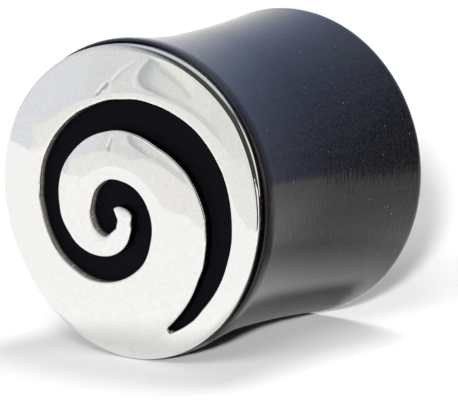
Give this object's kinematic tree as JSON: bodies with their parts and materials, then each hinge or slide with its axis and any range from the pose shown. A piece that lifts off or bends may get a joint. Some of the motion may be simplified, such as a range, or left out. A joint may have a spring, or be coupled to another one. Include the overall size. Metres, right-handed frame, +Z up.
{
  "type": "horn ear stretcher",
  "caption": "Round ear plug with a shallow saddle between two flared lips, and a polished silver face pierced with a spiral slot.",
  "frame": {"origin": "on the ground under the middle of the plug, which lies on its side on its two lips", "axes": "+Y along the plug's axis from the silver face to the back end, +X to the right seen from the silver face, +Z up"},
  "size_m": [0.0168, 0.0154, 0.0169],
  "materials": {
    "dark_horn": "polished",
    "polished_silver": "mirror polished"
  },
  "bodies": {
    "root": {"horn_plug": "dark_horn", "silver_face": "polished_silver"}
  },
  "joints": []
}
